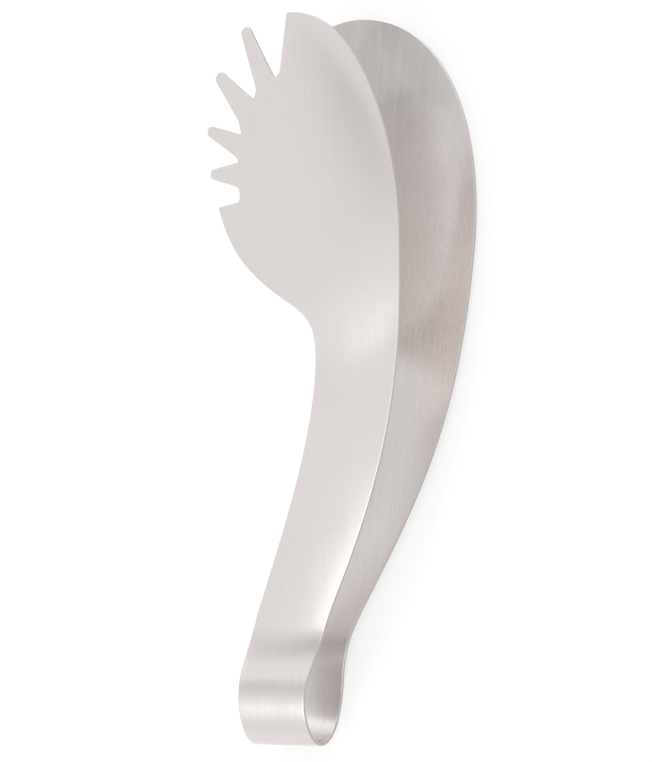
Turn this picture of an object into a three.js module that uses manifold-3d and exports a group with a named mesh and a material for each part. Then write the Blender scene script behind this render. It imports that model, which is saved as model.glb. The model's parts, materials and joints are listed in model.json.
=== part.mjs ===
// Mini tongs bent from one strip of stainless sheet: a spring bow, an arm with a fork head and an arm
// with a spoon head. Millimetres and degrees, lying on the spoon arm: +Y runs from the bow to the heads,
// +Z is up and +X is the side on which both heads bulge.
import * as THREE from 'three';
import { mergeVertices } from 'three/addons/utils/BufferGeometryUtils.js';
import Module from 'manifold-3d';

// The sheet, and the gap that parts the solids at each flex line.
const sheetThickness = 0.9;
const flexGap = 0.3;

// Side profile, along the middle of the sheet: a round bow, a waist that bends back, then straight arms.
const bowRadius = 8.7;
const bowHalfAngle = 103;
const waistRadius = 53;
const armHalfOpening = 7.75;

// Bow seen from above: a parallel strip whose two edges drift towards +X up to the flex lines.
const bowHalfWidth = 7.65;
const rightDriftStart = 6;
const leftDriftStart = 12;

// Arm seen square to its face. "Along" is measured up the arm, "across" from the middle of the bow.
const flexRightAcross = 13.35;
const flexRightLean = 25;
const flexLeftAcross = -3.6;
const flexLeftLean = 21;
const gripLength = 53;
const neckAcross = 11.15;
const rightEdgeReach = { leaving: 28.7, arriving: 33.9 };
const leftEdgeReach = { leaving: 15.9, arriving: 17.3 };

// Both heads, measured along from the neck.
const shoulderAlong = 9.3;
const shoulderAcross = 5.7;
const shoulderTurn = 60;
const neckReach = { leaving: 6.3, arriving: 2.4 };
const bellyAlong = 24.4;
const bellyAcross = 31.3;

// The spoon head's tip and hidden cheek.
const spoonTipAlong = 75.5;
const spoonTipAcross = 0.9;
const spoonCheekAlong = 47;
const spoonCheekAcross = -19.5;
const spoonCrestReach = { leaving: 27.5, arriving: 17.8 };
const spoonCheekReach = { leaving: 10.8, arriving: 15.9 };
const spoonFlankReach = { leaving: 16.2, arriving: 15.4 };

// The fork head: its crest ends in a horn, and its tines fan out from one point of the head.
const crestAlong = 70.25;
const crestAcross = 6.2;
const crestReach = { leaving: 15, arriving: 19.4 };
const fanAlong = 36;
const fanAcross = 9.5;
const horn = { tipReach: 34.5, tipAngle: -6.5, footReach: 22.5, footAngle: -14 };
const tines = [
  { angle: -26.4, rootReach: 21.8, tipReach: 34.7, rootWidth: 4.7, tipWidth: 2.2 },
  { angle: -46.5, rootReach: 20.9, tipReach: 31.9, rootWidth: 5.6, tipWidth: 2.4 },
  { angle: -68.7, rootReach: 18.9, tipReach: 28.3, rootWidth: 4.8, tipWidth: 2.1 },
  { angle: -89.3, rootReach: 18.1, tipReach: 26.1, rootWidth: 4.8, tipWidth: 2.3 },
];
const heel = { rootReach: 18.3, rootAngle: -106, tipReach: 24.7, tipAngle: -104.5, flankLean: 24 };
const heelFlankReach = { leaving: 10.3, arriving: 10.3 };
const hornRounding = 0.6;
const rootRounding = 1;
const tipRounding = 1.2;

// The heads curl inwards on the tine side, like a shallow ladle, and stay flat on the belly side.
const curlFlatAcross = 20;
const curlRadius = 90;
const curlStartAlong = 1;
const curlFullAlong = 33;

// Fineness of the curved faces, and how near two corners are to count as one.
const arcSteps = 12;
const pressGrid = 4.5;
const weldDistance = 1e-4;
// How far the cutting outlines reach past what they cut.
const overrun = 6;

const wasm = await Module();
wasm.setup();

// A closed three.js geometry as a solid that can be cut.
function toSolid(geometry) {
  geometry.deleteAttribute('normal');
  geometry.deleteAttribute('uv');
  const merged = mergeVertices(geometry, weldDistance);
  return new wasm.Manifold(new wasm.Mesh({
    numProp: 3,
    vertProperties: new Float32Array(merged.attributes.position.array),
    triVerts: new Uint32Array(merged.index.array),
  }));
}

// A cut solid as a three.js geometry.
function toGeometry(solid) {
  const mesh = solid.getMesh();
  const geometry = new THREE.BufferGeometry();
  geometry.setAttribute('position', new THREE.BufferAttribute(mesh.vertProperties, 3));
  geometry.setIndex(new THREE.BufferAttribute(mesh.triVerts, 1));
  geometry.computeVertexNormals();
  return geometry;
}

// A flat outline run out to a prism, half to either side of its plane.
function prism(outline, depth) {
  const options = { depth, bevelEnabled: false, curveSegments: arcSteps };
  return new THREE.ExtrudeGeometry(outline, options).translate(0, 0, -depth / 2);
}

// A direction in plan: 0 points along the arm, 90 across it towards +X.
function heading(angle) {
  const turn = THREE.MathUtils.degToRad(angle);
  return new THREE.Vector2(Math.sin(turn), Math.cos(turn));
}

// A smooth curve from the pen's place that leaves and arrives along the given directions. A longer reach
// holds the curve to its direction for longer.
function sweepTo(outline, leaving, end, arriving, reach) {
  const first = outline.currentPoint.clone().addScaledVector(heading(leaving), reach.leaving);
  const second = end.clone().addScaledVector(heading(arriving), -reach.arriving);
  outline.bezierCurveTo(first.x, first.y, second.x, second.y, end.x, end.y);
}

// Straight lines through corners that are rounded off, ending at the last corner.
function lineThrough(outline, corners, last) {
  corners.forEach((corner, index) => {
    const next = index + 1 < corners.length ? corners[index + 1].place : last;
    const back = outline.currentPoint.clone().sub(corner.place);
    const ahead = next.clone().sub(corner.place);
    const cut = Math.min(corner.rounding, back.length() / 2, ahead.length() / 2);
    const start = corner.place.clone().addScaledVector(back.normalize(), cut);
    const end = corner.place.clone().addScaledVector(ahead.normalize(), cut);
    outline.lineTo(start.x, start.y);
    outline.quadraticCurveTo(corner.place.x, corner.place.y, end.x, end.y);
  });
  outline.lineTo(last.x, last.y);
}

// The waist's arcs are centred outside the strip, in line with the end of the bow.
const bowTurn = THREE.MathUtils.degToRad(bowHalfAngle);
const opening = THREE.MathUtils.degToRad(armHalfOpening);
const waistCentre = new THREE.Vector2(
  bowRadius - (bowRadius + waistRadius) * Math.cos(bowTurn),
  (bowRadius + waistRadius) * Math.sin(bowTurn),
);
const flexLine = new THREE.Vector2(
  waistCentre.x + waistRadius * Math.sin(opening),
  waistCentre.y - waistRadius * Math.cos(opening),
);

function bowProfile() {
  const half = sheetThickness / 2;
  const waistEnd = Math.PI / 2 - opening + flexGap / 2 / waistRadius;
  const profile = new THREE.Shape();
  profile.absarc(waistCentre.x, waistCentre.y, waistRadius - half, -waistEnd, -bowTurn, true);
  profile.absarc(bowRadius, 0, bowRadius + half, Math.PI - bowTurn, Math.PI + bowTurn, false);
  profile.absarc(waistCentre.x, -waistCentre.y, waistRadius - half, bowTurn, waistEnd, true);
  profile.absarc(waistCentre.x, -waistCentre.y, waistRadius + half, waistEnd, bowTurn, false);
  profile.absarc(bowRadius, 0, bowRadius - half, Math.PI + bowTurn, Math.PI - bowTurn, true);
  profile.absarc(waistCentre.x, waistCentre.y, waistRadius + half, -bowTurn, -waistEnd, false);
  return profile;
}

// A third of the way from either end, the reach of an even curve.
function evenReach(length) {
  return { leaving: length / 3, arriving: length / 3 };
}

function bowOutline() {
  const rightReach = evenReach(flexLine.x - rightDriftStart);
  const leftReach = evenReach(flexLine.x - leftDriftStart);
  const rightFlex = new THREE.Vector2(flexRightAcross, flexLine.x);
  const leftFlex = new THREE.Vector2(flexLeftAcross, flexLine.x);
  const rightEnd = rightFlex.clone().addScaledVector(heading(flexRightLean), overrun);
  const leftEnd = leftFlex.clone().addScaledVector(heading(flexLeftLean), overrun);
  const outline = new THREE.Shape();
  outline.moveTo(bowHalfWidth, -overrun);
  outline.lineTo(bowHalfWidth, rightDriftStart);
  sweepTo(outline, 0, rightFlex, flexRightLean, rightReach);
  outline.lineTo(rightEnd.x, rightEnd.y);
  outline.lineTo(leftEnd.x, leftEnd.y);
  outline.lineTo(leftFlex.x, leftFlex.y);
  sweepTo(outline, flexLeftLean + 180, new THREE.Vector2(-bowHalfWidth, leftDriftStart), 180, leftReach);
  outline.lineTo(-bowHalfWidth, -overrun);
  outline.closePath();
  return outline;
}

// The bent strip, drawn in the Y-Z plane and run across X, trimmed to the bow's plan.
function springBow() {
  const across = 2 * (Math.max(bowHalfWidth, flexRightAcross, -flexLeftAcross) + overrun);
  const strip = prism(bowProfile(), across);
  strip.applyMatrix4(new THREE.Matrix4().makeBasis(
    new THREE.Vector3(0, 1, 0), new THREE.Vector3(0, 0, 1), new THREE.Vector3(1, 0, 0),
  ));
  const tall = 2 * (bowRadius + waistRadius);
  return toGeometry(toSolid(strip).intersect(toSolid(prism(bowOutline(), tall))));
}

// Places in a head, from the neck or from the centre of the tine fan.
function headPlace(across, along) {
  return new THREE.Vector2(across, gripLength + along);
}

function fanPlace(reach, angle) {
  return headPlace(fanAcross, fanAlong).addScaledVector(heading(angle), reach);
}

// The right edge of either arm, from the flex line to the belly of its head.
function startAtRight() {
  const outline = new THREE.Shape();
  outline.moveTo(flexRightAcross, 0);
  sweepTo(outline, flexRightLean, headPlace(bellyAcross, bellyAlong), 0, rightEdgeReach);
  return outline;
}

// The left edge of either arm, from the shoulder back to the flex line.
function finishAtLeft(outline) {
  sweepTo(outline, 180 - shoulderTurn, headPlace(neckAcross, 0), 180, neckReach);
  sweepTo(outline, 180, new THREE.Vector2(flexLeftAcross, 0), 180 + flexLeftLean, leftEdgeReach);
  outline.closePath();
  return outline;
}

function spoonOutline() {
  const outline = startAtRight();
  const shoulder = headPlace(shoulderAcross, shoulderAlong);
  sweepTo(outline, 0, headPlace(spoonTipAcross, spoonTipAlong), -90, spoonCrestReach);
  sweepTo(outline, -90, headPlace(spoonCheekAcross, spoonCheekAlong), 180, spoonCheekReach);
  sweepTo(outline, 180, shoulder, 180 - shoulderTurn, spoonFlankReach);
  return finishAtLeft(outline);
}

// The four corners of a tine, from its upper root round its tip to its lower root.
function tineCorners(tine) {
  const aside = heading(tine.angle + 90);
  const corner = (reach, side, rounding) => ({
    place: fanPlace(reach, tine.angle).addScaledVector(aside, side), rounding,
  });
  return [
    corner(tine.rootReach, tine.rootWidth / 2, rootRounding),
    corner(tine.tipReach, tine.tipWidth / 2, tipRounding),
    corner(tine.tipReach, -tine.tipWidth / 2, tipRounding),
    corner(tine.rootReach, -tine.rootWidth / 2, rootRounding),
  ];
}

function forkOutline() {
  const outline = startAtRight();
  const shoulder = headPlace(shoulderAcross, shoulderAlong);
  sweepTo(outline, 0, headPlace(crestAcross, crestAlong), -90, crestReach);
  const corners = [
    { place: fanPlace(horn.tipReach, horn.tipAngle), rounding: hornRounding },
    { place: fanPlace(horn.footReach, horn.footAngle), rounding: hornRounding },
    ...tines.flatMap(tineCorners),
    { place: fanPlace(heel.rootReach, heel.rootAngle), rounding: rootRounding },
  ];
  lineThrough(outline, corners, fanPlace(heel.tipReach, heel.tipAngle));
  sweepTo(outline, 180 - heel.flankLean, shoulder, 180 - shoulderTurn, heelFlankReach);
  return finishAtLeft(outline);
}

// How far the pressed sheet dips inwards at a place of the arm.
function curlDepth(across, along) {
  const ramp = THREE.MathUtils.smoothstep(along - gripLength, curlStartAlong, curlFullAlong);
  return ramp * Math.max(0, curlFlatAcross - across) ** 2 / (2 * curlRadius);
}

// An arm in its own frame: X across, Y along from the flex line, sheet in the X-Y plane, curled to one side.
function pressedArm(outline, curlSide) {
  const bounds = new THREE.Box2().setFromPoints(outline.getPoints(arcSteps)).expandByScalar(overrun);
  const width = bounds.max.x - bounds.min.x;
  const length = bounds.max.y - flexGap / 2;
  const blank = new THREE.BoxGeometry(
    width, length, sheetThickness, Math.ceil(width / pressGrid), Math.ceil(length / pressGrid), 1,
  );
  blank.translate(bounds.min.x + width / 2, flexGap / 2 + length / 2, 0);
  const places = blank.attributes.position;
  for (let index = 0; index < places.count; index += 1) {
    const dip = curlDepth(places.getX(index), places.getY(index));
    places.setZ(index, places.getZ(index) + curlSide * dip);
  }
  return toGeometry(toSolid(blank).intersect(toSolid(prism(outline, 2 * width))));
}

const brushedSteel = new THREE.MeshStandardMaterial({ color: 0xd6d1cd, roughness: 0.34, metalness: 1 });

function named(name, geometry) {
  const mesh = new THREE.Mesh(geometry, brushedSteel);
  mesh.name = name;
  return mesh;
}

// Each arm stands on its flex line, opened to its own side of the bow.
function placedArm(mesh, side) {
  const hinge = new THREE.Group();
  hinge.position.set(0, flexLine.x, side * flexLine.y);
  hinge.rotation.x = side * opening;
  hinge.add(mesh);
  return hinge;
}

const tongs = new THREE.Group();
tongs.add(named('spring_bow', springBow()));
tongs.add(placedArm(named('front_arm', pressedArm(forkOutline(), -1)), 1));
const rearArm = named('rear_arm', pressedArm(spoonOutline(), 1));
tongs.add(placedArm(rearArm, -1));

// Lying on a table, the tongs touch it with the bow's bulge and the underside of the spoon head.
function restingTilt() {
  tongs.updateMatrixWorld(true);
  const bulge = bowRadius + sheetThickness / 2;
  const places = rearArm.geometry.attributes.position;
  const place = new THREE.Vector3();
  let lowest = Infinity;
  for (let index = 0; index < places.count; index += 1) {
    place.fromBufferAttribute(places, index).applyMatrix4(rearArm.matrixWorld);
    const along = place.y - bowRadius;
    const reach = Math.hypot(along, place.z);
    if (along > gripLength) {
      lowest = Math.min(lowest, Math.atan2(place.z, along) + Math.asin(bulge / reach));
    }
  }
  return -lowest;
}

tongs.rotation.x = restingTilt();
tongs.updateMatrixWorld(true);
const extent = new THREE.Box3().setFromObject(tongs, true);
tongs.position.set(
  -(extent.min.x + extent.max.x) / 2,
  -(extent.min.y + extent.max.y) / 2,
  -extent.min.z,
);

const group = new THREE.Group();
group.add(tongs);

export default group;
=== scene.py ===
"""Mini tongs bent from one strip of brushed stainless sheet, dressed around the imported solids.

The strip is cut as a flat blank, rounded along its cut edges and bent over a profile by a node tree.
"""

import json
import math

import bpy
from bpy.props import FloatProperty, FloatVectorProperty, PointerProperty
from mathutils import Matrix, Vector
from mathutils.geometry import delaunay_2d_cdt
from mathutils.kdtree import KDTree


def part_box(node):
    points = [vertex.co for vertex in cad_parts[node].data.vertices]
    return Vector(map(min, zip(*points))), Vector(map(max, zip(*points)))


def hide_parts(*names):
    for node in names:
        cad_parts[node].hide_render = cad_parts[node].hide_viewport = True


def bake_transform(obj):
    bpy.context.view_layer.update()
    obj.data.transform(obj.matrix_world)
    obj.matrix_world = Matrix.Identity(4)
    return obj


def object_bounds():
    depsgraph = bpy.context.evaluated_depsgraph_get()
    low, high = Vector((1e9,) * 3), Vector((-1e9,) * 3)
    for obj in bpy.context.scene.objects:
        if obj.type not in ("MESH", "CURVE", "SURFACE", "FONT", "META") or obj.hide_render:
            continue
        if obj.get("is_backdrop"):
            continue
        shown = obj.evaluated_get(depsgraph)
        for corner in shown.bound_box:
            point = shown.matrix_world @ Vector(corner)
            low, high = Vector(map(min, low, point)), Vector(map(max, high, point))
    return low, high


bl_info = {
    "name": "Mini Tongs",
    "version": (1, 0, 0),
    "blender": (4, 5, 0),
    "location": "3D View > Sidebar > Tongs",
    "description": "Builds one-piece stainless mini tongs around their packed solids",
    "category": "Object",
}

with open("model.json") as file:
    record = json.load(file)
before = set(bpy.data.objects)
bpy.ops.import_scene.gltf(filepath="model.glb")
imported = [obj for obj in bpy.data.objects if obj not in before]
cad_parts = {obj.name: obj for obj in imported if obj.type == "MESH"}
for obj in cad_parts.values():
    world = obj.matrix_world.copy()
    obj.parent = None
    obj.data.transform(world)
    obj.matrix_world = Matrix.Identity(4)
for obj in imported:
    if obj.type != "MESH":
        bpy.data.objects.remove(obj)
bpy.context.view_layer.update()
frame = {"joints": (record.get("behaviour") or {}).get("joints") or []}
MM = 0.001

# The bow seen from above: a parallel strip whose edges drift towards +X up to the flex lines.
BOW_HALF_WIDTH = 7.65 * MM
RIGHT_DRIFT_START = 6 * MM
LEFT_DRIFT_START = 12 * MM

# An arm seen square to its face. Across is measured from the middle of the bow and along from the flex
# line. A reach pair says how long a curve holds its direction where it leaves and where it arrives.
FLEX_RIGHT_ACROSS = 13.35 * MM
FLEX_RIGHT_LEAN = 25
FLEX_LEFT_ACROSS = -3.6 * MM
FLEX_LEFT_LEAN = 21
GRIP_LENGTH = 53 * MM
NECK_ACROSS = 11.15 * MM
RIGHT_EDGE_REACH = (28.7 * MM, 33.9 * MM)
LEFT_EDGE_REACH = (15.9 * MM, 17.3 * MM)

# Both heads, with along measured from the neck.
SHOULDER_ALONG = 9.3 * MM
SHOULDER_ACROSS = 5.7 * MM
SHOULDER_TURN = 60
NECK_REACH = (6.3 * MM, 2.4 * MM)
BELLY_ALONG = 24.4 * MM
BELLY_ACROSS = 31.3 * MM

# The spoon head.
SPOON_TIP_ALONG = 75.5 * MM
SPOON_TIP_ACROSS = 1.8 * MM
SPOON_CHEEK_ALONG = 47 * MM
SPOON_CHEEK_ACROSS = -19.5 * MM
SPOON_CREST_REACH = (27.5 * MM, 17.8 * MM)
SPOON_CHEEK_REACH = (10.8 * MM, 15.9 * MM)
SPOON_FLANK_REACH = (16.2 * MM, 15.4 * MM)

# The fork head, whose tines fan out from one point of the head.
CREST_ALONG = 70.25 * MM
CREST_ACROSS = 6.2 * MM
CREST_REACH = (15 * MM, 19.4 * MM)
FAN_ALONG = 36 * MM
FAN_ACROSS = 9.5 * MM
HORN_TIP = (34.5 * MM, -6.5)
HORN_FOOT = (22.5 * MM, -14)
# Angle, root reach, tip reach, root width and tip width of each tine.
TINES = (
    (-25.8, 21.4 * MM, 34.9 * MM, 5.3 * MM, 2.4 * MM),
    (-46.7, 20.4 * MM, 31.9 * MM, 6.2 * MM, 2.4 * MM),
    (-68.9, 18.4 * MM, 28.3 * MM, 5.0 * MM, 2.1 * MM),
    (-88.1, 17.6 * MM, 26.0 * MM, 5.4 * MM, 1.8 * MM),
)
HEEL_ROOT = (18.3 * MM, -106)
HEEL_TIP = (24.7 * MM, -104.5)
HEEL_FLANK_LEAN = 24
HEEL_FLANK_REACH = (10.3 * MM, 10.3 * MM)
HORN_ROUNDING = 0.7 * MM
ROOT_ROUNDING = 1 * MM
TIP_ROUNDING = 1.2 * MM
HEEL_ROUNDING = 0.7 * MM

# Where each head's curl sets in and where it is full, along from the neck.
CURL_START = 1 * MM
CURL_FULL = 33 * MM

# The shallow bowl of each head: its middle across and along from the neck, half width, half length and lean.
FORK_BOWL = (10 * MM, 34 * MM, 21 * MM, 37 * MM, -0.25)
SPOON_BOWL = (14 * MM, 31 * MM, 13.5 * MM, 26.5 * MM, 0.0)
BOWL_RIM_SOFTNESS = 0.15

# The crown across each grip: its middle line leaves the flex line here and drifts across at this slope.
CROWN_ACROSS = 4.9 * MM
CROWN_LEAN = 0.38
CROWN_ONSET = 9 * MM
CROWN_FADE = 42 * MM

# Fineness of the meshes.
EDGE_STEP = 0.5 * MM
CORNER_STEPS = 8
CORNER_SHARE = 0.95
EDGE_ROUND_STEPS = 3
SHEET_MARGIN = 0.12 * MM
SEAM_STEP = 1.2 * MM
BOW_ROW = 0.5 * MM
WAIST_ROW = 0.9 * MM
ARM_ROW = 1.5 * MM
PROFILE_POINTS = 600
LENGTH_HALVINGS = 40
SPARE_PROFILE = 5 * MM
LEAST_MITRE = 0.6
RING_CLEARANCE = 1 / 3
FILL_INSIDE = 1
FILL_TOLERANCE = 1e-9

# The studio's soft sky patches and its softbox: turn from square in front, rise, and tightness of a patch.
GLOW_TURN = 180
GLOW_RISE = 38
GLOW_TIGHTNESS = 16
SIDE_TURN = -117
SIDE_RISE = 56
SIDE_TIGHTNESS = 60
OPENING_TURN = -140
OPENING_RISE = 76
OPENING_TIGHTNESS = 28
SOFTBOX_TURN = 5
SOFTBOX_RISE = 51
FLOOR_ROUGHNESS = 0.9

SHEET_MAP = "sheet"
SHEET_MAP_SCALE = 10

# The brushing: hairlines, broader streaks among them and a faint haze, which change the roughness.
HAIR_SHARE = 0.65
STREAK_WIDTHS = 5
STREAK_RUNS = 4
HAZE_WIDTH = 9 * MM
HAZE_RUN = 13 * MM
BRUSH_ROUGHNESS = 0.05
HAZE_ROUGHNESS = 0.03
HAIR_BUMP = 0.05
HAIR_DEPTH = 0.02 * MM
FINE_DETAIL = 3.0
COARSE_DETAIL = 2.0
NOISE_SPREAD = 0.25

# Sockets of a mix node that mixes colours.
MIX_FACTOR = 0
MIX_FIRST = 6
MIX_SECOND = 7
MIX_COLOUR = 2


class TongsSizes(bpy.types.PropertyGroup):
    """Sizes of the strip and of its bends."""

    thickness: FloatProperty(
        name="Sheet Thickness",
        description="Thickness of the stainless sheet",
        default=0.9 * MM,
        min=0.4 * MM,
        unit="LENGTH",
    )
    edge_rounding: FloatProperty(
        name="Edge Rounding",
        description="Radius to which the cut edges are tumbled",
        default=0.1 * MM,
        min=0.02 * MM,
        unit="LENGTH",
    )
    bow_crown_radius: FloatProperty(
        name="Bow Crown Radius",
        description="Radius of the bow about its crown, along the middle of the sheet",
        default=7.5 * MM,
        unit="LENGTH",
    )
    bow_crown_angle: FloatProperty(
        name="Bow Crown Angle",
        description="Turn from the crown up to where the bow widens",
        default=math.radians(45),
        subtype="ANGLE",
    )
    bow_side_radius: FloatProperty(
        name="Bow Side Radius",
        description="Radius of the bow at its sides, along the middle of the sheet",
        default=11.43 * MM,
        unit="LENGTH",
    )
    bow_half_angle: FloatProperty(
        name="Bow Half Angle",
        description="Turn of the bow from its crown to either leg",
        default=math.radians(106),
        subtype="ANGLE",
    )
    waist_radius: FloatProperty(
        name="Waist Radius",
        description="Radius of the bend back between the bow and either arm",
        default=20 * MM,
        unit="LENGTH",
    )
    leg_reach: FloatProperty(
        name="Leg Reach",
        description="Distance from the end of the bow to the corner that the waist rounds off",
        default=6.95 * MM,
        unit="LENGTH",
    )
    grip_reach: FloatProperty(
        name="Grip Reach",
        description="Distance from that corner to the flex line",
        default=9.7 * MM,
        unit="LENGTH",
    )
    arm_opening: FloatProperty(
        name="Arm Half Opening",
        description="Angle between either arm and the middle plane at rest",
        default=math.radians(7.75),
        subtype="ANGLE",
    )
    curl_radius: FloatProperty(
        name="Curl Radius",
        description="Radius of the inward curl of both heads",
        default=150 * MM,
        unit="LENGTH",
    )
    curl_flat: FloatProperty(
        name="Curl Flat From",
        description="Distance across from the middle of the bow past which a head stays flat",
        default=31 * MM,
        unit="LENGTH",
    )
    fork_bowl_depth: FloatProperty(
        name="Fork Bowl Depth",
        description="How far the fork head is pressed out at the middle of its bowl",
        default=2.2 * MM,
        unit="LENGTH",
    )
    spoon_bowl_depth: FloatProperty(
        name="Spoon Bowl Depth",
        description="How far the spoon head is pressed out at the middle of its bowl",
        default=1.8 * MM,
        unit="LENGTH",
    )
    crown_radius: FloatProperty(
        name="Crown Radius",
        description="Radius to which each grip is crowned across",
        default=85 * MM,
        unit="LENGTH",
    )
    flex_span: FloatProperty(
        name="Flex Span",
        description="Length of strip to either side of a flex line over which it bends",
        default=14 * MM,
        unit="LENGTH",
    )


class TongsFinish(bpy.types.PropertyGroup):
    """Colours and roughness of the steel."""

    steel_light: FloatVectorProperty(
        name="Steel Light",
        description="Colour of the sheet on the ridges of its brushing",
        default=(0.689, 0.652, 0.638),
        subtype="COLOR",
        min=0,
        max=1,
    )
    steel_dark: FloatVectorProperty(
        name="Steel Dark",
        description="Colour of the sheet in the furrows of its brushing",
        default=(0.665, 0.629, 0.617),
        subtype="COLOR",
        min=0,
        max=1,
    )
    edge_light: FloatVectorProperty(
        name="Edge Light",
        description="Colour of the burnished part of the cut edges",
        default=(0.494, 0.470, 0.456),
        subtype="COLOR",
        min=0,
        max=1,
    )
    edge_dark: FloatVectorProperty(
        name="Edge Dark",
        description="Colour of the torn part of the cut edges",
        default=(0.380, 0.356, 0.342),
        subtype="COLOR",
        min=0,
        max=1,
    )
    roughness: FloatProperty(
        name="Roughness",
        description="Mean roughness of the brushed faces",
        default=0.26,
        min=0,
        max=1,
        subtype="FACTOR",
    )
    edge_roughness: FloatProperty(
        name="Edge Roughness",
        description="Mean roughness of the cut edges",
        default=0.26,
        min=0,
        max=1,
        subtype="FACTOR",
    )
    anisotropy: FloatProperty(
        name="Anisotropy",
        description="How much wider reflections spread across the brushing than along it",
        default=0.55,
        min=0,
        max=1,
        subtype="FACTOR",
    )
    hairline: FloatProperty(
        name="Hairline Width",
        description="Distance between the hairlines of the brushing",
        default=0.22 * MM,
        unit="LENGTH",
    )
    hairline_run: FloatProperty(
        name="Hairline Run",
        description="Length of one hairline",
        default=26 * MM,
        unit="LENGTH",
    )


class TongsStage(bpy.types.PropertyGroup):
    """The floor, the light and the camera."""

    floor_colour: FloatVectorProperty(
        name="Floor",
        description="Colour of the pale floor under its own glow",
        default=(0.39, 0.39, 0.39),
        subtype="COLOR",
        min=0,
        max=1,
    )
    floor_size: FloatProperty(
        name="Floor Size",
        description="Side of the square floor",
        default=8,
        unit="LENGTH",
    )
    room_light: FloatProperty(
        name="Room Light",
        description="Strength of the even light from all round",
        default=1.05,
        min=0,
    )
    back_glow: FloatProperty(
        name="Back Glow",
        description="Extra strength of the bright patch low behind the heads",
        default=2.0,
        min=0,
    )
    side_glow: FloatProperty(
        name="Side Glow",
        description="Extra strength of the small bright patch beside the arms",
        default=0.16,
        min=0,
    )
    dark_opening: FloatProperty(
        name="Dark Opening",
        description="Strength that the dark patch overhead takes away",
        default=0.8,
        min=0,
    )
    softbox_power: FloatProperty(
        name="Softbox Power",
        description="Power of the softbox near the bow, in watts",
        default=1.0,
        min=0,
    )
    softbox_size: FloatProperty(
        name="Softbox Size",
        description="Width of the round softbox",
        default=0.5,
        unit="LENGTH",
    )
    softbox_distance: FloatProperty(
        name="Softbox Distance",
        description="Distance from the softbox to the grips that it is aimed at",
        default=0.6,
        unit="LENGTH",
    )
    floor_glow: FloatProperty(
        name="Floor Glow",
        description="Light that the floor gives off, as a light table does",
        default=0.58,
        min=0,
    )
    camera_turn: FloatProperty(
        name="Camera Turn",
        description="How far the camera is swung round the arms from square in front of them",
        default=math.radians(26.96),
        subtype="ANGLE",
    )
    camera_dip: FloatProperty(
        name="Camera Dip",
        description="How far the camera is raised towards the heads from square in front",
        default=math.radians(-4.56),
        subtype="ANGLE",
    )
    camera_roll: FloatProperty(
        name="Camera Roll",
        description="How far the picture is turned round its middle",
        default=math.radians(1.82),
        subtype="ANGLE",
    )
    camera_distance: FloatProperty(
        name="Camera Distance",
        description="Distance from the camera to the point it is aimed at",
        default=1.0586,
        unit="LENGTH",
    )
    aim_across: FloatProperty(
        name="Aim Across",
        description="Aim point, across from the middle of the bow",
        default=6.1 * MM,
        unit="LENGTH",
    )
    aim_along: FloatProperty(
        name="Aim Along",
        description="Aim point, along from the crown of the bow",
        default=76.66 * MM,
        unit="LENGTH",
    )
    lens: FloatProperty(
        name="Lens",
        description="Focal length for a sensor 36 mm long, in millimetres",
        default=236.2,
    )


class Strip:
    """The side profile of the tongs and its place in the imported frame."""

    def __init__(self, sizes):
        bend_back = sizes.bow_half_angle + sizes.arm_opening - math.pi / 2
        taken = sizes.waist_radius * math.tan(bend_back / 2)
        crown_run = sizes.bow_crown_radius * sizes.bow_crown_angle
        side_run = sizes.bow_side_radius * (sizes.bow_half_angle - sizes.bow_crown_angle)
        # Length and radius of each stretch from the crown to the flex line. Zero is a straight stretch.
        self.stretches = (
            (crown_run, sizes.bow_crown_radius),
            (side_run, sizes.bow_side_radius),
            (sizes.leg_reach - taken, 0),
            (sizes.waist_radius * bend_back, -sizes.waist_radius),
            (sizes.grip_reach - taken, 0),
        )
        runs = [run for run, _ in self.stretches]
        self.bow_length = sum(runs[:2])
        self.waist_start = sum(runs[:3])
        self.waist_end = sum(runs[:4])
        self.flex_length = sum(runs)
        self.flex = self.point(self.flex_length)
        joints = {joint["name"]: Vector(joint["pos_m"]) for joint in frame["joints"]}
        self.across = Vector((1, 0, 0))
        self.out = joints["front_flex"] - joints["rear_flex"]
        self.out.x = 0
        self.out.normalize()
        self.along = self.out.cross(self.across)
        self.flex_middle = (joints["front_flex"] + joints["rear_flex"]) / 2
        self.flex_middle.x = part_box("spring_bow")[0].x + BOW_HALF_WIDTH
        self.crown = self.flex_middle - self.along * self.flex.x

    def place(self, across, along, out):
        """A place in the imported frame, measured from the crown of the bow."""
        return self.crown + self.across * across + self.along * along + self.out * out

    def point(self, length):
        """Along and out at a length of strip from the crown, on the fork's side."""
        along = 0
        out = 0
        angle = 0
        for index, (run, radius) in enumerate(self.stretches):
            step = min(run, length) if index + 1 < len(self.stretches) else length
            length -= step
            if radius:
                turned = angle + step / radius
                along += radius * (math.cos(angle) - math.cos(turned))
                out += radius * (math.sin(turned) - math.sin(angle))
                angle = turned
            else:
                along += step * math.sin(angle)
                out += step * math.cos(angle)
        return Vector((along, out))

    def length(self, along):
        """The length of strip from the crown to a place this far along, up to the flex line."""
        low = 0
        high = self.flex_length
        for _ in range(LENGTH_HALVINGS):
            middle = (low + high) / 2
            if self.point(middle).x < along:
                low = middle
            else:
                high = middle
        return high


def heading(angle):
    """A direction on the sheet: 0 points along it, 90 across it towards +X."""
    turn = math.radians(angle)
    return Vector((math.sin(turn), math.cos(turn)))


def straight(start, end):
    """Points of a straight edge, without its start."""
    count = max(1, math.ceil((end - start).length / EDGE_STEP))
    return [start.lerp(end, step / count) for step in range(1, count + 1)]


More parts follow.
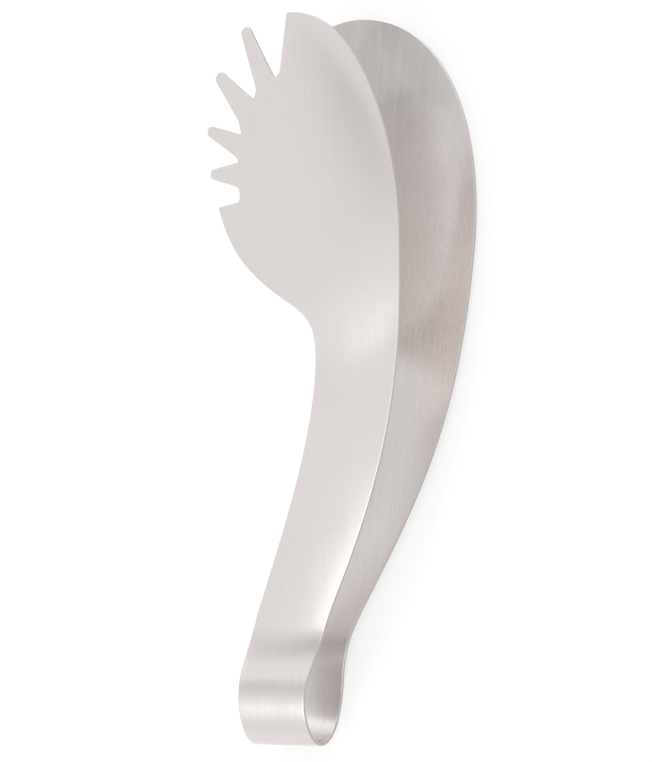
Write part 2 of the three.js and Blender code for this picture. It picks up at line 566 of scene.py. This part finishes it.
def sweep(start, leaving, end, arriving, reach):
    """Points of a smooth edge that leaves and arrives along the given directions, without its start."""
    first = start + heading(leaving) * reach[0]
    second = end - heading(arriving) * reach[1]
    spread = (first - start).length + (second - first).length + (end - second).length
    count = math.ceil(spread / EDGE_STEP)
    points = []
    for step in range(1, count + 1):
        t = step / count
        near = start.lerp(first, t).lerp(first.lerp(second, t), t)
        far = first.lerp(second, t).lerp(second.lerp(end, t), t)
        points.append(near.lerp(far, t))
    return points


def rounded(start, corners, last):
    """Points of straight edges through rounded corners to the last place, without the start."""
    points = []
    here = start
    for index, (corner, rounding) in enumerate(corners):
        ahead = corners[index + 1][0] if index + 1 < len(corners) else last
        back_run = here - corner
        ahead_run = ahead - corner
        cut = min(rounding, back_run.length * CORNER_SHARE, ahead_run.length / 2)
        turn_in = corner + back_run.normalized() * cut
        turn_out = corner + ahead_run.normalized() * cut
        points += straight(here, turn_in)
        for step in range(1, CORNER_STEPS + 1):
            t = step / CORNER_STEPS
            points.append(turn_in.lerp(corner, t).lerp(corner.lerp(turn_out, t), t))
        here = turn_out
    return points + straight(here, last)


class Outline:
    """Edges of the blank, with the length of strip measured from the crown."""

    def __init__(self, strip):
        self.strip = strip

    def on_strip(self, plan):
        """A place of the bow's plan as a place on the flat strip."""
        return Vector((plan.x, self.strip.length(plan.y)))

    def head(self, across, along):
        """A place of a head, along from the neck."""
        return Vector((across, self.strip.flex_length + GRIP_LENGTH + along))

    def fan(self, reach, angle):
        """A place of the fork head, from the middle of its fan."""
        return self.head(FAN_ACROSS, FAN_ALONG) + heading(angle) * reach

    def right_edge(self):
        """From the crown up to the belly of the head."""
        crown = Vector((BOW_HALF_WIDTH, 0))
        drift = Vector((BOW_HALF_WIDTH, RIGHT_DRIFT_START))
        flex = Vector((FLEX_RIGHT_ACROSS, self.strip.flex.x))
        third = (flex.y - drift.y) / 3
        points = [crown] + straight(crown, self.on_strip(drift))
        drifting = sweep(drift, 0, flex, FLEX_RIGHT_LEAN, (third, third))
        points += [self.on_strip(plan) for plan in drifting]
        belly = self.head(BELLY_ACROSS, BELLY_ALONG)
        return points + sweep(points[-1], FLEX_RIGHT_LEAN, belly, 0, RIGHT_EDGE_REACH)

    def left_edge(self, shoulder):
        """From the shoulder of the head back to the crown."""
        neck = self.head(NECK_ACROSS, 0)
        flex = Vector((FLEX_LEFT_ACROSS, self.strip.flex.x))
        drift = Vector((-BOW_HALF_WIDTH, LEFT_DRIFT_START))
        crown = Vector((-BOW_HALF_WIDTH, 0))
        third = (flex.y - drift.y) / 3
        points = sweep(shoulder, 180 - SHOULDER_TURN, neck, 180, NECK_REACH)
        points += sweep(neck, 180, self.on_strip(flex), 180 + FLEX_LEFT_LEAN, LEFT_EDGE_REACH)
        drifting = sweep(flex, 180 + FLEX_LEFT_LEAN, drift, 180, (third, third))
        points += [self.on_strip(plan) for plan in drifting]
        return points + straight(points[-1], crown)

    def spoon(self):
        """The whole edge of the spoon half."""
        points = self.right_edge()
        tip = self.head(SPOON_TIP_ACROSS, SPOON_TIP_ALONG)
        cheek = self.head(SPOON_CHEEK_ACROSS, SPOON_CHEEK_ALONG)
        shoulder = self.head(SHOULDER_ACROSS, SHOULDER_ALONG)
        points += sweep(points[-1], 0, tip, -90, SPOON_CREST_REACH)
        points += sweep(tip, -90, cheek, 180, SPOON_CHEEK_REACH)
        points += sweep(cheek, 180, shoulder, 180 - SHOULDER_TURN, SPOON_FLANK_REACH)
        return points + self.left_edge(shoulder)

    def tine(self, angle, root_reach, tip_reach, root_width, tip_width):
        """The corners of a tine, from its upper root round its tip to its lower root."""
        aside = heading(angle + 90)
        root = self.fan(root_reach, angle)
        tip = self.fan(tip_reach, angle)
        return [
            (root + aside * root_width / 2, ROOT_ROUNDING),
            (tip + aside * tip_width / 2, TIP_ROUNDING),
            (tip - aside * tip_width / 2, TIP_ROUNDING),
            (root - aside * root_width / 2, ROOT_ROUNDING),
        ]

    def fork(self):
        """The whole edge of the fork half."""
        points = self.right_edge()
        crest = self.head(CREST_ACROSS, CREST_ALONG)
        shoulder = self.head(SHOULDER_ACROSS, SHOULDER_ALONG)
        points += sweep(points[-1], 0, crest, -90, CREST_REACH)
        corners = [(self.fan(*HORN_TIP), HORN_ROUNDING), (self.fan(*HORN_FOOT), HORN_ROUNDING)]
        for tine in TINES:
            corners += self.tine(*tine)
        corners.append((self.fan(*HEEL_ROOT), ROOT_ROUNDING))
        flank_heading = 180 - HEEL_FLANK_LEAN
        heel = self.fan(*HEEL_TIP)
        corners.append((heel, HEEL_ROUNDING))
        flank = heel + heading(flank_heading) * 2 * HEEL_ROUNDING
        points += rounded(points[-1], corners, flank)
        points += sweep(flank, flank_heading, shoulder, 180 - SHOULDER_TURN, HEEL_FLANK_REACH)
        return points + self.left_edge(shoulder)


def inward(path):
    """For each point of an open path round a blank, the step inwards that moves its edges by one."""
    steps = []
    for index, point in enumerate(path):
        before = point - path[index - 1] if index else None
        after = path[index + 1] - point if index + 1 < len(path) else None
        sides = [Vector((-run.y, run.x)).normalized() for run in (before, after) if run is not None]
        if len(sides) == 1:
            steps.append(sides[0])
            continue
        middle = (sides[0] + sides[1]).normalized()
        steps.append(middle / max(LEAST_MITRE, middle.dot(sides[0])))
    return steps


def filling(ring, rows, spacing):
    """Places inside a closed ring, in rows across the strip, clear of the ring."""
    tree = KDTree(len(ring))
    for index, point in enumerate(ring):
        tree.insert((point.x, point.y, 0), index)
    tree.balance()
    places = []
    for row in rows:
        crossings = []
        for index, point in enumerate(ring):
            other = ring[index - 1]
            if (point.y > row) != (other.y > row):
                share = (row - other.y) / (point.y - other.y)
                crossings.append(other.x + share * (point.x - other.x))
        crossings.sort()
        for left, right in zip(crossings[::2], crossings[1::2]):
            count = max(1, round((right - left) / spacing))
            for step in range(1, count):
                across = left + (right - left) * step / count
                if tree.find((across, row, 0))[2] > spacing * RING_CLEARANCE:
                    places.append(Vector((across, row)))
    return places


def row_places(strip, top):
    """Lengths of strip at which the blank has a row of places, closest where it bends most."""
    rows = []
    length = BOW_ROW
    while length < top:
        rows.append(length)
        if length < strip.bow_length:
            length += BOW_ROW
        elif length < strip.waist_end:
            length += WAIST_ROW
        else:
            length += ARM_ROW
    return rows


def edge_rings(thickness, rounding):
    """How far in, how high and how far round each ring of the cut edge is, from the outer face."""
    half = thickness / 2
    upper = []
    for step in range(EDGE_ROUND_STEPS + 1):
        angle = math.pi / 2 * step / EDGE_ROUND_STEPS
        inset = rounding * (1 - math.sin(angle))
        upper.append((inset, half - rounding * (1 - math.cos(angle))))
    rings = [(rounding + SHEET_MARGIN, half)] + upper
    rings += [(inset, -height) for inset, height in reversed(rings)]
    run = -rings[0][0]
    placed = []
    for index, (inset, height) in enumerate(rings):
        if index:
            run += math.hypot(inset - rings[index - 1][0], height - rings[index - 1][1])
        placed.append((inset, height, run))
    return placed


def mapped_mesh(name, verts, faces, maps, cut, rim):
    """A mesh with its sheet map, its cut faces marked and its rim kept sharp."""
    mesh = bpy.data.meshes.new(name)
    mesh.from_pydata(verts, [], faces)
    layer = mesh.uv_layers.new(name=SHEET_MAP)
    for face, corners in zip(mesh.polygons, maps):
        for corner, place in zip(face.loop_indices, corners):
            layer.data[corner].uv = (place[0] * SHEET_MAP_SCALE, place[1] * SHEET_MAP_SCALE)
    mesh.attributes.new("cut_edge", "BOOLEAN", "FACE").data.foreach_set("value", cut)
    for line in mesh.edges:
        line.use_edge_sharp = line.vertices[0] in rim and line.vertices[1] in rim
    mesh.validate()
    return mesh


def blank_mesh(name, path, strip, sizes, turned):
    """The flat blank as a closed mesh: X across, Y along the strip, Z towards the outer face."""
    steps = inward(path)
    rings = edge_rings(sizes.thickness, sizes.edge_rounding)
    count = len(path)
    last = len(rings) - 1
    verts = []
    flat = []
    for inset, height, run in rings:
        for point, step in zip(path, steps):
            inner = point + step * inset
            outer = point - step * run
            verts.append((inner.x, inner.y, height))
            flat.append((outer.x, outer.y))

    edge = [point + step * rings[0][0] for point, step in zip(path, steps)]
    seam_count = round((edge[0].x - edge[-1].x) / SEAM_STEP)
    seam = [edge[-1].lerp(edge[0], step / seam_count) for step in range(1, seam_count)]
    ring = edge + seam
    rows = row_places(strip, max(point.y for point in path))
    places = ring + filling(ring, rows, ARM_ROW)
    loop = [(index, (index + 1) % len(ring)) for index in range(len(ring))]
    _, _, triangles, origins, _, _ = delaunay_2d_cdt(places, loop, [], FILL_INSIDE, FILL_TOLERANCE)
    triangles = [[origins[corner][0] for corner in triangle] for triangle in triangles]

    upper = len(verts)
    extra = places[count:]
    lower = upper + len(extra)
    for height in (sizes.thickness / 2, -sizes.thickness / 2):
        verts += [(point.x, point.y, height) for point in extra]
    plain = [(point.x, point.y) for point in places]

    faces = []
    maps = []
    cut = []
    for triangle in triangles:
        faces.append([c if c < count else upper + c - count for c in triangle])
        maps.append([plain[c] for c in triangle])
        cut.append(False)
        back = triangle[::-1]
        faces.append([last * count + c if c < count else lower + c - count for c in back])
        maps.append([plain[c] for c in back])
        cut.append(False)
    for level in range(last):
        for index in range(count - 1):
            near = level * count + index
            far = near + count
            face = [near, far, far + 1, near + 1]
            faces.append(face)
            maps.append([flat[c] for c in face])
            cut.append(level == last // 2)
    seam_size = len(seam)
    end = [upper + index for index in reversed(range(seam_size))]
    end = [0] + end + [level * count + count - 1 for level in range(last + 1)]
    end += [lower + index for index in range(seam_size)]
    end += [level * count for level in range(last, 0, -1)]
    faces.append(end)
    maps.append([(verts[c][0], verts[c][2]) for c in end])
    cut.append(True)
    if turned:
        faces = [face[::-1] for face in faces]
        maps = [corners[::-1] for corners in maps]
    return mapped_mesh(name, verts, faces, maps, cut, set(end))


def profile_curve(name, strip, side, length):
    """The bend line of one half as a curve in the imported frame, from the crown to past the head."""
    curve = bpy.data.curves.new(name, "CURVE")
    curve.dimensions = "3D"
    line = curve.splines.new("POLY")
    line.points.add(PROFILE_POINTS)
    for index, point in enumerate(line.points):
        along, out = strip.point(length * index / PROFILE_POINTS)
        point.co = (*strip.place(0, along, side * out), 1)
    made = bpy.data.objects.new(name, curve)
    bpy.context.scene.collection.objects.link(made)
    return made


class Nodes:
    """Adds nodes to a tree and joins them up."""

    def __init__(self, tree):
        self.tree = tree

    def add(self, kind, settings=None, **inputs):
        """A node of this kind with its settings and with values or sockets for its named inputs."""
        node = self.tree.nodes.new(kind)
        for key, value in (settings or {}).items():
            setattr(node, key, value)
        for key, value in inputs.items():
            self.join(node, key.replace("_", " "), value)
        return node

    def join(self, node, key, value):
        """Sets an input of a node by name or number, to a value or to another node's output."""
        socket = node.inputs[key]
        if isinstance(value, bpy.types.NodeSocket):
            self.tree.links.new(value, socket)
        else:
            socket.default_value = value

    def math(self, operation, first, second=None):
        """The output of a math node."""
        node = self.add("ShaderNodeMath", {"operation": operation})
        self.join(node, 0, first)
        if second is not None:
            self.join(node, 1, second)
        return node.outputs[0]

    def vector(self, operation, first, second, key=1):
        """The output of a vector math node."""
        node = self.add("ShaderNodeVectorMath", {"operation": operation})
        self.join(node, 0, first)
        self.join(node, key, second)
        return node.outputs[0]

    def ramp(self, value, low, high):
        """A smooth step from 0 where the value is low to 1 where it is high."""
        node = self.add("ShaderNodeMapRange", {"interpolation_type": "SMOOTHSTEP"}, Value=value)
        self.join(node, "From Min", low)
        self.join(node, "From Max", high)
        return node.outputs["Result"]


PRESS_SOCKETS = (
    ("Blank", "NodeSocketGeometry"),
    ("Profile", "NodeSocketObject"),
    ("Outer Side", "NodeSocketFloat"),
    ("Curl Radius", "NodeSocketFloat"),
    ("Curl Flat From", "NodeSocketFloat"),
    ("Curl Start", "NodeSocketFloat"),
    ("Curl Full", "NodeSocketFloat"),
    ("Bowl Depth", "NodeSocketFloat"),
    ("Bowl Across", "NodeSocketFloat"),
    ("Bowl Along", "NodeSocketFloat"),
    ("Bowl Half Width", "NodeSocketFloat"),
    ("Bowl Half Length", "NodeSocketFloat"),
    ("Bowl Lean", "NodeSocketFloat"),
    ("Crown Radius", "NodeSocketFloat"),
    ("Crown Start", "NodeSocketFloat"),
    ("Flex Line", "NodeSocketFloat"),
    ("Sheet", "NodeSocketMaterial"),
    ("Cut Edge", "NodeSocketMaterial"),
)


def bowl_nodes(nodes, given, across, length):
    """How far the bowl bulges outwards: an oval dome whose rim is eased into the sheet."""
    along = nodes.math("SUBTRACT", length, given["Bowl Along"])
    aside = nodes.math("SUBTRACT", across, nodes.math("MULTIPLY", along, given["Bowl Lean"]))
    aside = nodes.math("SUBTRACT", aside, given["Bowl Across"])
    aside = nodes.math("DIVIDE", aside, given["Bowl Half Width"])
    along = nodes.math("DIVIDE", along, given["Bowl Half Length"])
    spread = nodes.math("ADD", nodes.math("MULTIPLY", aside, aside), nodes.math("MULTIPLY", along, along))
    dome = nodes.math("SUBTRACT", 1.0, spread)
    eased = nodes.math("ADD", nodes.math("MULTIPLY", dome, dome), BOWL_RIM_SOFTNESS ** 2)
    eased = nodes.math("ADD", dome, nodes.math("SQRT", eased))
    return nodes.math("MULTIPLY", nodes.math("MULTIPLY", eased, 0.5), given["Bowl Depth"])


def crown_nodes(nodes, given, across, length):
    """How far the sides of a grip fall away inwards, from the waist to the upper grip."""
    along = nodes.math("SUBTRACT", length, given["Flex Line"])
    aside = nodes.math("SUBTRACT", across, nodes.math("MULTIPLY", along, CROWN_LEAN))
    aside = nodes.math("SUBTRACT", aside, CROWN_ACROSS)
    fall = nodes.math("DIVIDE", nodes.math("MULTIPLY", aside, aside), given["Crown Radius"])
    risen = nodes.math("SUBTRACT", length, given["Crown Start"])
    share = nodes.math("MULTIPLY", nodes.ramp(risen, 0.0, CROWN_ONSET), nodes.ramp(along, CROWN_FADE, 0.0))
    return nodes.math("MULTIPLY", nodes.math("MULTIPLY", fall, 0.5), share)


def press_tree():
    """The node tree that bends a flat blank over a profile, forms its head and crowns its grip."""
    name = "Strip Press"
    if name in bpy.data.node_groups:
        return bpy.data.node_groups[name]
    tree = bpy.data.node_groups.new(name, "GeometryNodeTree")
    for label, kind in PRESS_SOCKETS:
        tree.interface.new_socket(label, in_out="INPUT", socket_type=kind)
    tree.interface.new_socket("Pressed", in_out="OUTPUT", socket_type="NodeSocketGeometry")
    nodes = Nodes(tree)
    given = nodes.add("NodeGroupInput").outputs
    place = nodes.add("GeometryNodeInputPosition").outputs[0]
    across, length, height = nodes.add("ShaderNodeSeparateXYZ", Vector=place).outputs

    share = nodes.ramp(length, given["Curl Start"], given["Curl Full"])
    past_flat = nodes.math("MAXIMUM", nodes.math("SUBTRACT", given["Curl Flat From"], across), 0.0)
    dip = nodes.math("DIVIDE", nodes.math("MULTIPLY", past_flat, past_flat), given["Curl Radius"])
    curl = nodes.math("MULTIPLY", nodes.math("MULTIPLY", dip, 0.5), share)
    pressed = nodes.math("SUBTRACT", bowl_nodes(nodes, given, across, length), curl)
    pressed = nodes.math("SUBTRACT", pressed, crown_nodes(nodes, given, across, length))
    lift = nodes.math("MULTIPLY", nodes.math("ADD", height, pressed), given["Outer Side"])

    line = nodes.add("GeometryNodeObjectInfo", Object=given["Profile"]).outputs["Geometry"]
    bend = nodes.add("GeometryNodeSampleCurve", {"mode": "LENGTH", "use_all_curves": True})
    nodes.join(bend, "Curves", line)
    nodes.join(bend, "Length", length)
    outward = nodes.vector("CROSS_PRODUCT", (1.0, 0.0, 0.0), bend.outputs["Tangent"])
    outward = nodes.vector("SCALE", outward, lift, "Scale")
    sideways = nodes.add("ShaderNodeCombineXYZ", X=across).outputs[0]
    spot = nodes.vector("ADD", nodes.vector("ADD", bend.outputs["Position"], sideways), outward)

    formed = nodes.add("GeometryNodeSetPosition", Geometry=given["Blank"], Position=spot).outputs[0]
    smooth = nodes.add("GeometryNodeSetShadeSmooth", Geometry=formed).outputs[0]
    whole = nodes.add("GeometryNodeRealizeInstances", Geometry=smooth).outputs[0]
    sheet = nodes.add("GeometryNodeSetMaterial", Geometry=whole, Material=given["Sheet"]).outputs[0]
    is_cut = nodes.add("GeometryNodeInputNamedAttribute", {"data_type": "BOOLEAN"}, Name="cut_edge")
    edged = nodes.add("GeometryNodeSetMaterial", Geometry=sheet, Material=given["Cut Edge"])
    nodes.join(edged, "Selection", is_cut.outputs["Attribute"])
    nodes.add("NodeGroupOutput", Pressed=edged.outputs[0])
    return tree


def press(name, path, side, bowl, bowl_depth):
    """One half of the tongs: its blank is bent over its profile and left as a plain mesh."""
    scene = bpy.context.scene
    sizes = scene.tongs_sizes
    strip = Strip(sizes)
    top = max(point.y for point in path) + SPARE_PROFILE
    half = bpy.data.objects.new(name, blank_mesh(name, path, strip, sizes, side < 0))
    scene.collection.objects.link(half)
    profile = profile_curve(name + "_profile", strip, side, top)
    tree = press_tree()
    neck = strip.flex_length + GRIP_LENGTH
    bowl_across, bowl_along, bowl_half_width, bowl_half_length, bowl_lean = bowl
    values = {
        "Profile": profile,
        "Outer Side": float(side),
        "Curl Radius": sizes.curl_radius,
        "Curl Flat From": sizes.curl_flat,
        "Curl Start": neck + CURL_START,
        "Curl Full": neck + CURL_FULL,
        "Bowl Depth": bowl_depth,
        "Bowl Across": bowl_across,
        "Bowl Along": neck + bowl_along,
        "Bowl Half Width": bowl_half_width,
        "Bowl Half Length": bowl_half_length,
        "Bowl Lean": bowl_lean,
        "Crown Radius": sizes.crown_radius,
        "Crown Start": strip.waist_start,
        "Flex Line": strip.flex_length,
        "Sheet": sheet_material(),
        "Cut Edge": edge_material(),
    }
    modifier = half.modifiers.new("Press", "NODES")
    modifier.node_group = tree
    for socket in tree.interface.items_tree:
        if socket.in_out == "INPUT" and socket.name in values:
            modifier[socket.identifier] = values[socket.name]
    depsgraph = bpy.context.evaluated_depsgraph_get()
    pressed = bpy.data.meshes.new_from_object(half.evaluated_get(depsgraph))
    blank = half.data
    half.modifiers.clear()
    half.data = pressed
    pressed.name = name
    bpy.data.meshes.remove(blank)
    line = profile.data
    bpy.data.objects.remove(profile)
    bpy.data.curves.remove(line)
    return half, strip


def new_material(name):
    """An empty node material with its tree and its shader."""
    material = bpy.data.materials.new(name)
    material.use_nodes = True
    nodes = Nodes(material.node_tree)
    return material, nodes, material.node_tree.nodes["Principled BSDF"]


def stretched_noise(nodes, across, along, detail):
    """A noise on the flat sheet whose grains have this width and length."""
    sheet = nodes.add("ShaderNodeUVMap", {"uv_map": SHEET_MAP}).outputs[0]
    scale = (1 / (across * SHEET_MAP_SCALE), 1 / (along * SHEET_MAP_SCALE), 1)
    placed = nodes.add("ShaderNodeMapping", Vector=sheet, Scale=scale).outputs[0]
    noise = nodes.add("ShaderNodeTexNoise", {"noise_dimensions": "2D"}, Vector=placed)
    nodes.join(noise, "Scale", 1.0)
    nodes.join(noise, "Detail", detail)
    return noise.outputs["Fac"]


def mapped(nodes, value, low, high):
    """A noise value, taken from the middle of its range, as a number from low to high."""
    node = nodes.add("ShaderNodeMapRange", Value=value)
    nodes.join(node, "From Min", 0.5 - NOISE_SPREAD)
    nodes.join(node, "From Max", 0.5 + NOISE_SPREAD)
    nodes.join(node, "To Min", low)
    nodes.join(node, "To Max", high)
    return node.outputs["Result"]


def tinted(nodes, noise, dark, light):
    """A colour that changes from dark to light with a noise."""
    tint = nodes.add("ShaderNodeMix", {"data_type": "RGBA"})
    nodes.join(tint, MIX_FACTOR, mapped(nodes, noise, 0.0, 1.0))
    nodes.join(tint, MIX_FIRST, (*dark, 1))
    nodes.join(tint, MIX_SECOND, (*light, 1))
    return tint.outputs[MIX_COLOUR]


def sheet_material():
    """Satin stainless sheet with hairlines along the strip and a faint haze."""
    name = "Brushed Sheet"
    if name in bpy.data.materials:
        return bpy.data.materials[name]
    finish = bpy.context.scene.tongs_finish
    material, nodes, shader = new_material(name)
    hairs = stretched_noise(nodes, finish.hairline, finish.hairline_run, FINE_DETAIL)
    streak_width = STREAK_WIDTHS * finish.hairline
    streak_run = STREAK_RUNS * finish.hairline_run
    streaks = stretched_noise(nodes, streak_width, streak_run, COARSE_DETAIL)
    haze = stretched_noise(nodes, HAZE_WIDTH, HAZE_RUN, COARSE_DETAIL)
    fine = nodes.math("MULTIPLY", hairs, HAIR_SHARE)
    broad = nodes.math("MULTIPLY", streaks, 1 - HAIR_SHARE)
    lines = nodes.math("ADD", fine, broad)
    nodes.join(shader, "Base Color", tinted(nodes, lines, finish.steel_dark, finish.steel_light))
    brushed = mapped(nodes, lines, BRUSH_ROUGHNESS, -BRUSH_ROUGHNESS)
    hazed = mapped(nodes, haze, -HAZE_ROUGHNESS, HAZE_ROUGHNESS)
    rough = nodes.math("ADD", brushed, hazed)
    nodes.join(shader, "Roughness", nodes.math("ADD", rough, finish.roughness))
    bump = nodes.add("ShaderNodeBump", Height=hairs, Strength=HAIR_BUMP, Distance=HAIR_DEPTH)
    nodes.join(shader, "Normal", bump.outputs[0])
    across = nodes.add("ShaderNodeTangent", {"direction_type": "UV_MAP", "uv_map": SHEET_MAP})
    nodes.join(shader, "Tangent", across.outputs[0])
    shader.inputs["Anisotropic"].default_value = finish.anisotropy
    shader.inputs["Metallic"].default_value = 1.0
    return material


def edge_material():
    """The sheared edge of the sheet, tumbled smooth, with fine marks across it."""
    name = "Cut Edge"
    if name in bpy.data.materials:
        return bpy.data.materials[name]
    finish = bpy.context.scene.tongs_finish
    material, nodes, shader = new_material(name)
    marks = stretched_noise(nodes, finish.hairline, finish.hairline, COARSE_DETAIL)
    nodes.join(shader, "Base Color", tinted(nodes, marks, finish.edge_dark, finish.edge_light))
    marked = mapped(nodes, marks, -BRUSH_ROUGHNESS, BRUSH_ROUGHNESS)
    nodes.join(shader, "Roughness", nodes.math("ADD", marked, finish.edge_roughness))
    shader.inputs["Metallic"].default_value = 1.0
    return material


class TONGS_OT_fork_half(bpy.types.Operator):
    """Press the half of the strip that ends in the fork head"""

    bl_idname = "object.tongs_fork_half"
    bl_label = "Fork Half"

    def execute(self, context):
        sizes = context.scene.tongs_sizes
        path = Outline(Strip(sizes)).fork()
        half, strip = press("fork_half", path, 1, FORK_BOWL, sizes.fork_bowl_depth)
        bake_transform(half)
        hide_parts("front_arm", "spring_bow")
        return {"FINISHED"}


class TONGS_OT_spoon_half(bpy.types.Operator):
    """Press the half of the strip that ends in the spoon head"""

    bl_idname = "object.tongs_spoon_half"
    bl_label = "Spoon Half"

    def execute(self, context):
        sizes = context.scene.tongs_sizes
        path = Outline(Strip(sizes)).spoon()
        half, strip = press("spoon_half", path, -1, SPOON_BOWL, sizes.spoon_bowl_depth)
        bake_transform(half)
        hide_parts("rear_arm", "spring_bow")
        return {"FINISHED"}


def floor_material(stage):
    """A matt pale board that glows, as on a light table."""
    material, _, shader = new_material("Pale Floor")
    shader.inputs["Base Color"].default_value = (*stage.floor_colour, 1)
    shader.inputs["Roughness"].default_value = FLOOR_ROUGHNESS
    shader.inputs["Specular IOR Level"].default_value = 0.0
    shader.inputs["Emission Color"].default_value = (1, 1, 1, 1)
    shader.inputs["Emission Strength"].default_value = stage.floor_glow
    return material


def add_floor(stage):
    """The flat floor that the tongs lie on."""
    half = stage.floor_size / 2
    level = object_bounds()[0].z
    corners = [(-half, -half, level), (half, -half, level), (half, half, level), (-half, half, level)]
    mesh = bpy.data.meshes.new("floor")
    mesh.from_pydata(corners, [], [(0, 1, 2, 3)])
    mesh.materials.append(floor_material(stage))
    floor = bpy.data.objects.new("floor", mesh)
    bpy.context.scene.collection.objects.link(floor)
    floor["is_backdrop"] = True


def direction(turn, rise):
    """The direction with this turn round the tongs from square in front and this rise above the floor."""
    level = math.cos(math.radians(rise))
    side = math.sin(math.radians(turn)) * level
    front = math.cos(math.radians(turn)) * level
    return Vector((side, -front, math.sin(math.radians(rise))))


def add_sky(stage):
    """An even white tent with two bright patches and one dark patch in it."""
    world = bpy.data.worlds.new("studio")
    bpy.context.scene.world = world
    world.use_nodes = True
    nodes = Nodes(world.node_tree)
    shade = world.node_tree.nodes["Background"]
    facing = nodes.add("ShaderNodeTexCoord").outputs["Generated"]
    strength = stage.room_light
    glow = (direction(GLOW_TURN, GLOW_RISE), GLOW_TIGHTNESS, stage.back_glow)
    side = (direction(SIDE_TURN, SIDE_RISE), SIDE_TIGHTNESS, stage.side_glow)
    opening = (direction(OPENING_TURN, OPENING_RISE), OPENING_TIGHTNESS, -stage.dark_opening)
    for middle, tightness, extra in (glow, side, opening):
        nearness = nodes.add("ShaderNodeVectorMath", {"operation": "DOT_PRODUCT"})
        nodes.join(nearness, 0, facing)
        nodes.join(nearness, 1, middle)
        falloff = nodes.math("SUBTRACT", nearness.outputs["Value"], 1.0)
        patch = nodes.math("EXPONENT", nodes.math("MULTIPLY", falloff, tightness))
        strength = nodes.math("ADD", nodes.math("MULTIPLY", patch, extra), strength)
    nodes.join(shade, "Strength", nodes.math("MAXIMUM", strength, 0.0))
    shade.inputs["Color"].default_value = (1, 1, 1, 1)


def add_softbox(stage, aim):
    """A round soft lamp in front of the bow, aimed at the grips."""
    lamp = bpy.data.lights.new("softbox", "AREA")
    lamp.shape = "DISK"
    lamp.size = stage.softbox_size
    lamp.energy = stage.softbox_power
    made = bpy.data.objects.new("softbox", lamp)
    away = direction(SOFTBOX_TURN, SOFTBOX_RISE)
    made.location = aim + away * stage.softbox_distance
    made.rotation_euler = away.to_track_quat("Z", "Y").to_euler()
    bpy.context.scene.collection.objects.link(made)


def add_camera(stage, strip):
    """The camera at the photograph's angle."""
    camera = bpy.data.cameras.new("camera")
    camera.lens = stage.lens
    made = bpy.data.objects.new("camera", camera)
    level = math.cos(stage.camera_dip)
    back = strip.across * math.sin(stage.camera_turn) * level
    back += strip.out * math.cos(stage.camera_turn) * level
    back += strip.along * math.sin(stage.camera_dip)
    up = (strip.along - back * strip.along.dot(back)).normalized()
    axes = Matrix((up.cross(back), up, back)).transposed()
    turned = axes @ Matrix.Rotation(stage.camera_roll, 3, "Z")
    aim = strip.place(stage.aim_across, stage.aim_along, 0)
    made.matrix_world = Matrix.Translation(aim + back * stage.camera_distance) @ turned.to_4x4()
    bpy.context.scene.collection.objects.link(made)
    bpy.context.scene.camera = made


class TONGS_OT_stage(bpy.types.Operator):
    """Set out the floor, the soft light and the camera"""

    bl_idname = "object.tongs_stage"
    bl_label = "Stage"

    def execute(self, context):
        scene = context.scene
        stage = scene.tongs_stage
        strip = Strip(scene.tongs_sizes)
        add_floor(stage)
        add_sky(stage)
        add_softbox(stage, strip.flex_middle)
        add_camera(stage, strip)
        scene.view_settings.view_transform = "Standard"
        return {"FINISHED"}


class TONGS_PT_panel(bpy.types.Panel):
    """The operators and sizes of the tongs"""

    bl_idname = "TONGS_PT_panel"
    bl_label = "Mini Tongs"
    bl_space_type = "VIEW_3D"
    bl_region_type = "UI"
    bl_category = "Tongs"

    def draw(self, context):
        for operator in OPERATORS:
            self.layout.operator(operator.bl_idname)
        for name in GROUPS:
            group = getattr(context.scene, name)
            for key in group.bl_rna.properties.keys():
                if key not in ("rna_type", "name"):
                    self.layout.prop(group, key)


GROUPS = {"tongs_sizes": TongsSizes, "tongs_finish": TongsFinish, "tongs_stage": TongsStage}
OPERATORS = (TONGS_OT_fork_half, TONGS_OT_spoon_half, TONGS_OT_stage)
CLASSES = (*GROUPS.values(), *OPERATORS, TONGS_PT_panel)


def register():
    for kind in CLASSES:
        bpy.utils.register_class(kind)
    for name, group in GROUPS.items():
        setattr(bpy.types.Scene, name, PointerProperty(type=group))


def unregister():
    for name in GROUPS:
        delattr(bpy.types.Scene, name)
    for kind in reversed(CLASSES):
        bpy.utils.unregister_class(kind)


def main():
    register()
    bpy.ops.object.tongs_fork_half()
    bpy.ops.object.tongs_spoon_half()
    bpy.ops.object.tongs_stage()


if __name__ == "__main__":
    main()
